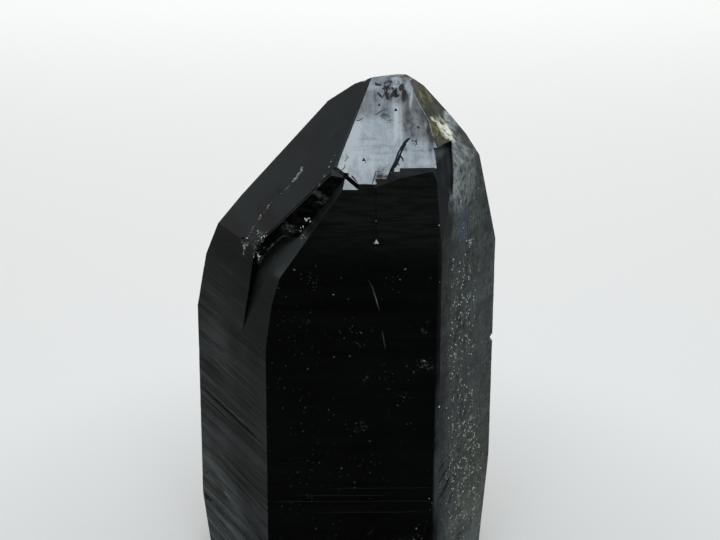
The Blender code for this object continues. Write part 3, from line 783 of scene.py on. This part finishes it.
def on_left(x, z):
    """A spot on the left face from its place seen from the front."""
    return x, LEFT_EDGE[1] - (x - LEFT_EDGE[0]) * LEFT_RUN, z


# The finishes of the flakes, in the order in which their piece carries them.
CLEAR, GREY = range(2)
clear_flake = flake_skin("flake_clear", (0.30, 0.33, 0.35), (0.75, 0.79, 0.80), 0.25, 0.3)
grey_flake = flake_skin("flake_grey", (0.05, 0.055, 0.06), (0.20, 0.22, 0.23), 0.25, 0.3)
flakes = bmesh.new()

# Chips along the rim of the leaf, from its top down, with their size between each two spots.
LEAF_SHAKE = 0.18
leaf_rim = [
    (-7.2, -12.7, 98.3), (-7.5, -13.7, 97.4), (-8.3, -14.1, 96.3), (-9.0, -14.0, 95.5),
    (-10.6, -13.9, 93.9), (-13.0, -13.1, 91.6), (-14.6, -14.0, 89.5), (-15.7, -14.3, 88.0),
    (-16.9, -14.5, 86.4), (-17.8, -15.5, 84.7), (-18.8, -14.9, 81.0),
]
leaf_sizes = [1.3, 1.9, 1.4, 0.8, 0.5, 0.9, 0.8, 0.6, 1.0, 1.9]
for first, last, size in zip(leaf_rim, leaf_rim[1:], leaf_sizes):
    for _ in range(int(5 + 5 * size)):
        spot = Vector(first).lerp(Vector(last), chance.random())
        spot += Vector((*jitter(LEAF_SHAKE, LEAF_SHAKE), 0.0))
        long = size * chance.uniform(0.25, 0.75)
        wide = long * chance.uniform(0.3, 0.6)
        turn = 1.0 + chance.gauss(0.0, 0.4)
        tone = chance.choice((CLEAR, GREY, GREY))
        add_flake(flakes, spot, LEFT_UP, long, wide, tall=0.10, turn=turn, tone=tone)

# Bruises: the middle, how far the chips spread, how many, their size, and how many are clear.
bruises = [
    ((-18.1, -15.7, 83.6), 0.30, 16, 1.0, 0.5), ((-15.5, -17.2, 86.3), 0.50, 26, 0.6, 0.15),
    ((-14.0, -18.7, 86.5), 0.35, 14, 0.7, 0.35), ((-15.9, -19.1, 82.4), 0.35, 12, 0.8, 0.6),
    ((-15.2, -18.8, 84.6), 0.60, 30, 0.55, 0.10), ((-6.1, -20.6, 90.2), 0.16, 12, 0.9, 0.9),
    ((-7.1, -20.5, 88.2), 0.35, 12, 0.6, 0.6), ((-6.9, -21.3, 87.0), 0.45, 14, 0.5, 0.4),
    ((-10.8, -21.6, 81.8), 0.50, 6, 0.4, 0.0),
]
for centre, spread, count, size, clear_share in bruises:
    for _ in range(count):
        spot = Vector(centre) + Vector(jitter(spread, spread, spread))
        long = size * chance.uniform(0.3, 1.0)
        wide = long * chance.uniform(0.3, 0.6)
        turn = chance.gauss(1.3, 0.5)
        tone = CLEAR if chance.random() < clear_share else GREY
        add_flake(flakes, spot, LEFTWARD, long, wide, long * 0.2, turn, tone)

# Sparks on the edge between the bright slope and the left slope, and a few chips on the left face.
rim_sparks = [
    (-0.9, -18.0, 102.0), (-1.5, -18.5, 101.0), (-2.0, -19.0, 100.1), (-2.8, -20.0, 98.7),
    (-3.7, -20.6, 97.1),
]
for spot in rim_sparks:
    for _ in range(4):
        shaken = Vector(spot) + Vector(jitter(0.05, 0.05, 0.25))
        long = chance.uniform(0.3, 0.7)
        tone = chance.choice((CLEAR, GREY))
        add_flake(flakes, shaken, LEFT_UP, long, wide=0.16, tall=0.05, turn=1.1, tone=tone)
for x, z in ((-29.5, 36.5), (-29.3, 37.1), (-23.6, 39.6), (-23.4, 39.0), (-23.7, 40.3)):
    add_flake(flakes, on_left(x, z), LEFTWARD, long=0.7, wide=0.3, tall=0.06, turn=1.9, tone=GREY)
flake_piece("edge_flakes", flakes, [clear_flake, grey_flake])

# ---------------------------------------------------------------------------------------------
# The frosting on the right face. Etched quartz grains, whitish above and yellowish near the foot,
# that stand in upright streaks and glitter.

# The right face runs back to the right from the edge that it shares with the front face.
RIGHT_EDGE_X = 19.62
RIGHT_RUN = (0.5, 0.866)
RIGHTWARD = direction(60.0, 0.0)


def on_right(along, z):
    """A spot on the right face, so far along it from its front edge."""
    return RIGHT_EDGE_X + along * RIGHT_RUN[0], EDGE_Y + along * RIGHT_RUN[1], z


# The grains gather in patches. Some are dim, and more of them are yellow below a certain height.
WHITE, YELLOW, DIM = range(3)
PATCH_WIDTH = 1.3
PATCH_HEIGHT = 3.0
PATCHY = (-0.30, 0.30)
DIM_SHARE = 0.42
YELLOW_BELOW = 40.0
LOW_YELLOW_SHARE = 0.55
HIGH_YELLOW_SHARE = 0.2475
frost = bmesh.new()
white_grain = flake_skin("frost_white", (0.34, 0.38, 0.37), (0.80, 0.84, 0.80), 0.3, 0.2)
yellow_grain = flake_skin("frost_yellow", (0.34, 0.33, 0.18), (0.72, 0.70, 0.46), 0.3, 0.2)
dim_grain = flake_skin("frost_dim", (0.09, 0.11, 0.11), (0.24, 0.27, 0.25), 0.35, 0.2)

# Each streak: its middle along the face, its spread, its foot, its top and its grains.
frost_streaks = [
    (4.6, 0.7, 30.0, 84.0, 150), (6.5, 0.5, 8.0, 82.0, 330), (9.2, 0.5, 6.0, 80.0, 300),
    (11.9, 0.6, 6.0, 84.0, 320), (14.8, 0.6, 8.0, 76.0, 200), (17.2, 0.9, 18.0, 44.0, 130),
    (9.5, 4.0, 4.0, 94.0, 340), (19.2, 1.4, 14.0, 62.0, 60), (13.5, 3.0, 22.0, 44.0, 220),
    (9.0, 4.0, 24.0, 40.0, 160),
]
for middle, spread, bottom, top, count in frost_streaks:
    for _ in range(count):
        along = middle + chance.gauss(0.0, spread)
        z = chance.uniform(bottom, top)
        gathered = noise.noise(Vector((along / PATCH_WIDTH, middle, z / PATCH_HEIGHT)))
        if gathered < chance.uniform(*PATCHY):
            continue
        long = chance.uniform(0.22, 0.62)
        yellow_share = LOW_YELLOW_SHARE if z < YELLOW_BELOW else HIGH_YELLOW_SHARE
        if chance.random() < DIM_SHARE:
            tone = DIM
        else:
            tone = YELLOW if chance.random() < yellow_share else WHITE
        wide = long * chance.uniform(0.5, 0.8)
        turn = 1.3 + chance.gauss(0.0, 0.35)
        add_flake(frost, on_right(along, z), RIGHTWARD, long, wide, long * 0.25, turn, tone)
flake_piece("right_frosting", frost, [white_grain, yellow_grain, dim_grain])

# ---------------------------------------------------------------------------------------------
# The specks and scratches on the dark faces. Grey grains and fine scratches in the skin of the
# front and left faces, faint painted highlights along the growth striations of the front face,
# and a clear chip at the foot of the short seam below the bright slope.

# Spots on the front and back faces are set at these depths, and grains lie turned any way.
FRONT_SPOTS = -22.9
BACK_SPOTS = 23.0
ANY_TURN = (0.0, 3.0)
FRONTWARD = direction(0.0, 0.0)
GREY_GRAIN, LIGHT_GRAIN, CLEAR_CHIP, STRIATION_LINE = range(4)
grey_speck = flake_skin("speck_grey", (0.018, 0.020, 0.020), (0.060, 0.064, 0.066), 0.4, 0.3)
# The finish of the painted highlight lines along the growth striations of the front face.
striation_highlight = flake_skin("painted_striation_lines", (0.004, 0.005, 0.005), (0.012, 0.014, 0.014), 0.45, 0.8, 0.1)
light_speck = flake_skin("speck_light", (0.10, 0.11, 0.11), (0.30, 0.32, 0.32), 0.3, 0.3)
grains = bmesh.new()


def on_front(x, z):
    """A spot on the front face."""
    return x, FRONT_SPOTS, z


def add_speck(x, z, long, narrowest, tall, light_share):
    """One grain in the front face: mostly grey, now and then light."""
    wide = long * chance.uniform(narrowest, 0.9)
    turn = chance.uniform(*ANY_TURN)
    tone = LIGHT_GRAIN if chance.random() < light_share else GREY_GRAIN
    add_flake(grains, on_front(x, z), FRONTWARD, long, wide, tall, turn, tone)


# Grains all over the front face, fewer on its right, and then the places where they gather: the
# middle, how far they spread, how many, and their size.
for _ in range(170):
    x = chance.uniform(-13.5, 18.6)
    z = chance.uniform(17.0, 82.0)
    if x > 2.0 and chance.random() < 0.35:
        continue
    long = 0.18 + 0.45 * chance.random() ** 2
    add_speck(x, z, long, narrowest=0.6, tall=0.06, light_share=0.1)
clusters = [
    (-5.6, 79.2, 0.8, 9, 0.4), (-4.6, 74.6, 1.6, 9, 0.3), (1.6, 69.0, 1.6, 14, 0.35),
    (4.0, 66.5, 1.0, 9, 0.35), (-9.4, 70.6, 2.0, 12, 0.35), (10.0, 78.2, 1.2, 8, 0.4),
    (-7.0, 64.0, 2.6, 12, 0.35), (8.4, 58.4, 1.6, 12, 0.35), (11.0, 55.2, 1.4, 12, 0.35),
    (16.2, 61.4, 0.9, 16, 0.7), (3.6, 47.6, 0.8, 10, 0.5), (-12.0, 57.0, 2.0, 12, 0.3),
    (-5.0, 44.0, 4.0, 20, 0.3), (-7.0, 33.0, 4.0, 24, 0.3), (6.0, 36.0, 4.0, 16, 0.3),
    (14.6, 22.0, 1.0, 9, 0.4),
]
for x, z, spread, count, size in clusters:
    for _ in range(count):
        long = size * chance.uniform(0.5, 1.2)
        across, up = jitter(spread, spread)
        add_speck(x + across, z + up, long, narrowest=0.5, tall=0.05, light_share=0.08)

# Grains on the back and on the left face.
for _ in range(150):
    x = chance.uniform(-14.0, 16.0)
    long = 0.2 + 0.5 * chance.random() ** 2
    spot = (x, BACK_SPOTS, chance.uniform(6.0, 80.0))
    turn = chance.uniform(*ANY_TURN)
    tone = LIGHT_GRAIN if chance.random() < 0.12 else GREY_GRAIN
    add_flake(grains, spot, BACKWARD, long, wide=long * 0.7, tall=0.06, turn=turn, tone=tone)
for _ in range(26):
    spot = on_left(chance.uniform(-30.0, -16.0), chance.uniform(16.0, 70.0))
    long = chance.uniform(0.2, 0.5)
    turn = chance.uniform(*ANY_TURN)
    tone = chance.choice((GREY_GRAIN, GREY_GRAIN, LIGHT_GRAIN))
    add_flake(grains, spot, LEFTWARD, long, wide=0.25, tall=0.05, turn=turn, tone=tone)

# Single light chips on the front face: the place, the length and the width.
light_spots = [
    (6.85, 90.8, 0.45, 0.5), (0.1, 38.6, 0.4, 0.4), (11.2, 52.6, 0.4, 0.35), (-4.2, 21.5, 0.5, 0.4),
    (14.9, 22.0, 0.5, 0.5), (-1.2, 63.0, 0.4, 0.35), (1.9, 63.2, 0.35, 0.3), (12.4, 81.2, 0.6, 0.4),
    (18.9, 78.6, 0.35, 0.3), (-1.2, 76.0, 0.5, 0.45),
]
for x, z, long, wide in light_spots:
    add_flake(grains, on_front(x, z), FRONTWARD, long, wide, tall=0.08, turn=0.3, tone=LIGHT_GRAIN)


RIDGE = 0.03
TAPER = 0.6


def scratch(mesh, way, path, width, tone):
    """A fine raised thread along a path on one face, pointed at both ends."""
    found = [rest_on(spot, way) for spot in path]
    spots = [(place, normal) for place, normal in found if place is not None]
    rings = []
    for index, (place, normal) in enumerate(spots):
        ahead = spots[min(index + 1, len(spots) - 1)][0] - spots[max(index - 1, 0)][0]
        across = normal.cross(ahead).normalized()
        share = math.sin(math.pi * (index + 0.35) / (len(spots) - 0.3)) ** TAPER
        half = width * share / 2 * MM
        rings.append([
            mesh.verts.new(place + across * half - normal * SUNK * MM),
            mesh.verts.new(place + normal * RIDGE * MM),
            mesh.verts.new(place - across * half - normal * SUNK * MM),
        ])
    for upper, lower in zip(rings, rings[1:]):
        for side in range(3):
            following = (side + 1) % 3
            corners = (upper[side], upper[following], lower[following], lower[side])
            mesh.faces.new(corners).material_index = tone
    for ring in (rings[0], rings[-1]):
        mesh.faces.new(ring).material_index = tone


def run_between(first, last, steps, wander):
    """Points from one spot to another, wandering a little in the face."""
    path = []
    for step in range(steps + 1):
        across, up = jitter(wander, wander)
        path.append(Vector(first).lerp(Vector(last), step / steps) + Vector((across, 0.0, up)))
    return path


# Scratches and painted highlight lines: both ends, the steps between them, how far they wander, the
# width and the finish.
front_scratches_and_highlights = [
    ((5.6, 79.0), (7.5, 72.5), 8, 0.08, 0.36, GREY_GRAIN),
    ((6.5, 76.4), (7.4, 73.2), 5, 0.05, 0.26, LIGHT_GRAIN),
    ((8.1, 68.6), (8.7, 64.6), 6, 0.04, 0.35, GREY_GRAIN),
    # Four long level lines of painted highlight along the growth striations.
    ((-14.4, 30.9), (19.2, 31.05), 14, 0.03, 0.18, STRIATION_LINE),
    ((-2.0, 34.0), (18.6, 34.15), 14, 0.03, 0.14, STRIATION_LINE),
    ((-9.0, 32.3), (10.0, 32.45), 14, 0.03, 0.12, STRIATION_LINE),
    ((-6.0, 28.4), (19.0, 28.55), 14, 0.03, 0.10, STRIATION_LINE),
]
for first, last, steps, wander, width, tone in front_scratches_and_highlights:
    path = run_between(on_front(*first), on_front(*last), steps, wander)
    scratch(grains, FRONTWARD, path, width, tone)

# The clear chip at the foot of the seam.
chip = [rest_on(on_front(x, z), FRONTWARD)[0] for x, z in ((6.85, 87.3), (6.3, 86.2), (7.4, 86.3))]
peak = grains.verts.new(sum(chip, Vector()) / 3 + Vector((0.0, -0.25, -0.1)) * MM)
rim = [grains.verts.new(place + Vector((0.0, SUNK, 0.0)) * MM) for place in chip]
close_chip(grains, rim, peak, CLEAR_CHIP)
flake_piece("skin_specks", grains, [grey_speck, light_speck, clear_flake, striation_highlight])

# ---------------------------------------------------------------------------------------------
# The hairlines. Dark healed cracks, etch marks and the seam below the bright slope, each a thread
# of black quartz in the surface, pale threads of painted highlight along edges of the bright
# slope, and dark threads of painted shadow under the ledges of the left face.

BLACK_THREAD, GREY_THREAD, EDGE_HIGHLIGHT_THREAD = range(3)
lines = bmesh.new()
black_thread = flake_skin("thread_black", (0.0012, 0.0013, 0.0013), (0.005, 0.006, 0.007), 0.4, 0.5, 0.07)
grey_thread = flake_skin("thread_grey", (0.030, 0.040, 0.048), (0.070, 0.085, 0.100), 0.4, 0.5, 0.12)
# The finish of the painted highlight threads.
edge_highlight_thread = flake_skin("thread_edge_highlight", (0.22, 0.25, 0.28), (0.46, 0.50, 0.54), 0.3, 0.6)


def on_slope(x, z):
    """A spot on the bright slope from its place seen from the front."""
    return x, EDGE_Y + (z - EDGE_Z) * math.tan(math.radians(SLOPE_LEAN)), z


# Marks on the bright slope, as paths with their widths: black cracks and pits, grey etch marks
# and pale threads that are painted highlights along its edges.
slope_cracks = [
    ([(-0.1, 101.1), (-0.35, 100.7), (-0.1, 100.2), (0.5, 100.1), (1.0, 100.5), (1.1, 101.0)], 0.34),
    ([(9.2, 113.7), (8.9, 113.1), (8.7, 112.5), (8.3, 112.0), (8.0, 111.4)], 0.34),
    ([(8.6, 112.4), (9.2, 112.2)], 0.24), ([(10.1, 112.7), (10.6, 112.2), (11.0, 111.8)], 0.50),
    ([(0.9, 99.5), (1.5, 99.4), (2.4, 99.1), (2.9, 98.6), (3.4, 98.1)], 0.44),
    ([(6.1, 97.9), (6.3, 98.6), (6.6, 99.3), (6.7, 99.9)], 0.30),
    ([(14.3, 105.1), (14.2, 104.5), (14.4, 104.0)], 0.30), ([(14.5, 104.9), (14.1, 103.8)], 0.24),
    ([(14.9, 106.9), (14.6, 106.6)], 0.50), ([(4.7, 101.7), (4.8, 101.2)], 0.34),
    ([(7.5, 110.4), (7.7, 110.2)], 0.30), ([(10.7, 110.4), (10.8, 110.2)], 0.26),
    ([(13.2, 105.1), (12.6, 104.8), (12.0, 104.2), (11.7, 103.5), (11.5, 102.9)], 0.95),
    ([(12.4, 104.2), (12.0, 103.6)], 0.5),
    ([(11.8, 103.8), (11.5, 103.0), (11.2, 102.3), (10.7, 101.6)], 0.62),
    ([(11.4, 102.8), (11.1, 102.1), (10.7, 101.5), (10.4, 100.9), (10.2, 100.4)], 1.10),
    ([(10.5, 101.2), (10.0, 100.5), (9.7, 99.8), (9.3, 99.1), (9.0, 98.5)], 0.70),
    ([(11.3, 102.4), (11.7, 101.9), (11.8, 101.4)], 0.50), ([(10.7, 101.2), (11.1, 100.8)], 0.50),
    ([(10.3, 101.6), (10.0, 101.2)], 0.40), ([(9.8, 100.2), (9.4, 100.1), (9.1, 100.3)], 0.36),
    ([(9.8, 99.6), (10.1, 99.0)], 0.34),
]
slope_etching = [
    ([(1.1, 102.7), (1.5, 102.2), (1.3, 101.7), (0.9, 101.4)], 0.28), ([(1.4, 102.3), (1.8, 101.9)], 0.3),
    ([(6.4, 108.8), (7.0, 108.9), (7.6, 109.3), (8.3, 109.6), (9.0, 109.7)], 0.30),
    ([(3.1, 107.8), (3.7, 107.9), (4.4, 108.3)], 0.34),
    ([(8.4, 108.2), (9.0, 107.9), (9.6, 107.9), (10.0, 108.2)], 0.24),
    ([(8.2, 109.1), (8.7, 108.7), (9.3, 108.8)], 0.22), ([(11.2, 113.4), (11.7, 113.1)], 0.36),
    ([(6.9, 113.9), (7.4, 113.6), (8.0, 113.8)], 0.24), ([(6.7, 99.9), (7.3, 99.8), (8.0, 99.9)], 0.20),
]
# Painted highlights along the edges of the bright slope.
slope_edge_highlights = [
    ([(13.3, 113.0), (14.0, 112.2), (15.2, 110.2), (16.8, 107.9), (17.2, 106.3), (17.4, 105.4)], 0.24),
    ([(17.6, 103.2), (17.75, 102.2), (17.8, 101.2), (17.5, 100.5)], 0.20),
    ([(17.3, 100.4), (13.6, 100.35), (11.7, 100.35)], 0.16),
]
slope_marks = [(slope_cracks, BLACK_THREAD), (slope_etching, GREY_THREAD), (slope_edge_highlights, EDGE_HIGHLIGHT_THREAD)]
for marks, tone in slope_marks:
    for spots, width in marks:
        scratch(lines, SLOPE_WAY, [on_slope(x, z) for x, z in spots], width, tone)

# The seam runs down from the bright slope. Hackles cross the foot of the right face, and long dark
# threads along the growth lines of the left face are painted shadows under its ledges.
seam = run_between(on_front(6.75, 98.0), on_front(6.85, 86.2), steps=20, wander=0.04)
scratch(lines, FRONTWARD, seam, width=0.30, tone=BLACK_THREAD)
HACKLE_BOW = 0.3
hackles = [
    (0.2, 5.2, 31.2, 32.7), (2.6, 5.3, 32.5, 34.1), (4.8, 7.0, 28.2, 29.3), (0.6, 3.4, 35.0, 36.4),
    (0.4, 2.6, 37.6, 38.6),
]
for near, far, low_end, high_end in hackles:
    middle = on_right((near + far) / 2, (low_end + high_end) / 2 + HACKLE_BOW)
    path = [on_right(near, low_end), middle, on_right(far, high_end)]
    scratch(lines, RIGHTWARD, path, width=0.75, tone=BLACK_THREAD)
SHADOW_THREAD_STEPS = 6
# Painted shadows under the ledges of the left face: both ends, the height and the width.
ledge_shadow_threads = [
    (-30.5, -15.8, 43.1, 1.1), (-30.2, -22.0, 41.1, 0.6), (-24.5, -16.2, 41.6, 0.4),
    (-30.9, -28.6, 16.2, 1.3), (-22.0, -16.6, 31.2, 0.4), (-30.0, -18.0, 36.4, 0.3),
    (-24.0, -15.6, 62.0, 0.3), (-30.6, -24.0, 56.4, 0.3), (-29.0, -20.0, 27.6, 0.4),
    (-21.0, -15.9, 34.0, 0.3),
]
for near, far, z, width in ledge_shadow_threads:
    places = [near + (far - near) * step / SHADOW_THREAD_STEPS for step in range(SHADOW_THREAD_STEPS + 1)]
    path = [on_left(x, z + chance.gauss(0.0, 0.06)) for x in places]
    scratch(lines, LEFTWARD, path, width, BLACK_THREAD)
flake_piece("hairlines", lines, [black_thread, grey_thread, edge_highlight_thread])
body.free()

# ---------------------------------------------------------------------------------------------
# The studio. A pale sheet of paper to stand on, soft light from a pale room, a softbox above the
# camera, a wide light over the back of the paper, and a dark card that only reflections see.


def stage_disc(name, height, radius):
    """A flat round sheet under the crystal. It belongs to the studio and not to the part."""
    mesh = bmesh.new()
    bmesh.ops.create_circle(mesh, cap_ends=True, segments=96, radius=radius)
    bmesh.ops.translate(mesh, vec=(0.0, 0.0, height), verts=mesh.verts)
    made = add_object(name, mesh)
    mesh.free()
    return made


# Painted shade on the paper: it is a little darker towards the camera, and a painted shadow darkens
# it near the crystal.
floor = stage_disc("floor", 0.0, 3.0)
paper = Skin("paper", 0.9, 0.0)
across = paper.along("X")
deep = paper.along("Y")
away = paper.plus(paper.times(across, across), paper.times(deep, deep))
painted_floor_shade = paper.times(paper.fade("Y", -60.0, 300.0, 0.97, 1.0), paper.span(away, 900.0, 16000.0, 0.88, 1.0))
paper.colour(paper.scaled((0.80, 0.81, 0.81), painted_floor_shade))
floor.data.materials.append(paper.material)
floor.visible_glossy = False

card = stage_disc("dark_card", 0.1 * MM, 2.9)
card_skin = Skin("card", 1.0, 0.0)
card_skin.colour(card_skin.colours(card_skin.fade("Y", -30.0, 20.0), [
    (0.0, (0.004, 0.004, 0.004)), (1.0, (0.12, 0.124, 0.126)),
]))
card.data.materials.append(card_skin.material)
card.visible_camera = False
card.visible_diffuse = False
card.visible_shadow = False

# The room is dark behind the camera, where y is below the first value, and pale at the back.
ROOM_LIGHT = (-0.75, 0.05, 0.075, 0.57)
world = bpy.data.worlds.new("pale_room")
world.use_nodes = True
room = world.node_tree.nodes
links = world.node_tree.links
room_way = room.new("ShaderNodeTexCoord")
room_parts = room.new("ShaderNodeSeparateXYZ")
room_span = room.new("ShaderNodeMapRange")
room_span.interpolation_type = "SMOOTHSTEP"
links.new(room_way.outputs["Generated"], room_parts.inputs[0])
links.new(room_parts.outputs["Y"], room_span.inputs["Value"])
for socket, value in zip(("From Min", "From Max", "To Min", "To Max"), ROOM_LIGHT):
    room_span.inputs[socket].default_value = value
room["Background"].inputs["Color"].default_value = (1.0, 1.0, 0.985, 1.0)
links.new(room_span.outputs["Result"], room["Background"].inputs["Strength"])
scene.world = world


def soft_light(name, target, way, distance, width, depth, energy, colour):
    """A rectangular light at a distance from its target, which it faces."""
    data = bpy.data.lights.new(name, "AREA")
    data.shape = "RECTANGLE"
    data.size = width
    data.size_y = depth
    data.energy = energy
    data.color = colour
    made = bpy.data.objects.new(name, data)
    made.location = Vector(target) + Vector(way) * distance
    made.rotation_euler = Vector(way).to_track_quat("Z", "Y").to_euler()
    scene.collection.objects.link(made)


soft_light(
    "softbox", target=(0.008, -0.016, 0.106), way=(0.0, -0.46, 0.888), distance=0.42,
    width=0.34, depth=0.30, energy=1.15, colour=(0.90, 0.965, 1.0),
)
soft_light(
    "back_light", target=(0.0, 1.0, 0.0), way=(0.0, 0.0, 1.0), distance=0.9,
    width=1.8, depth=1.0, energy=11.6, colour=(1.0, 1.0, 0.99),
)

CAMERA_PLACE = (0.003832, -0.25193, 0.168)
CAMERA_DIP = 20.8
camera_data = bpy.data.cameras.new("camera")
camera_data.sensor_width = 36.0
camera_data.lens = 65.0
camera = bpy.data.objects.new("camera", camera_data)
camera.location = CAMERA_PLACE
camera.rotation_euler = (math.radians(90.0 - CAMERA_DIP), 0.0, 0.0)
scene.collection.objects.link(camera)
scene.camera = camera
scene.view_settings.view_transform = "Standard"
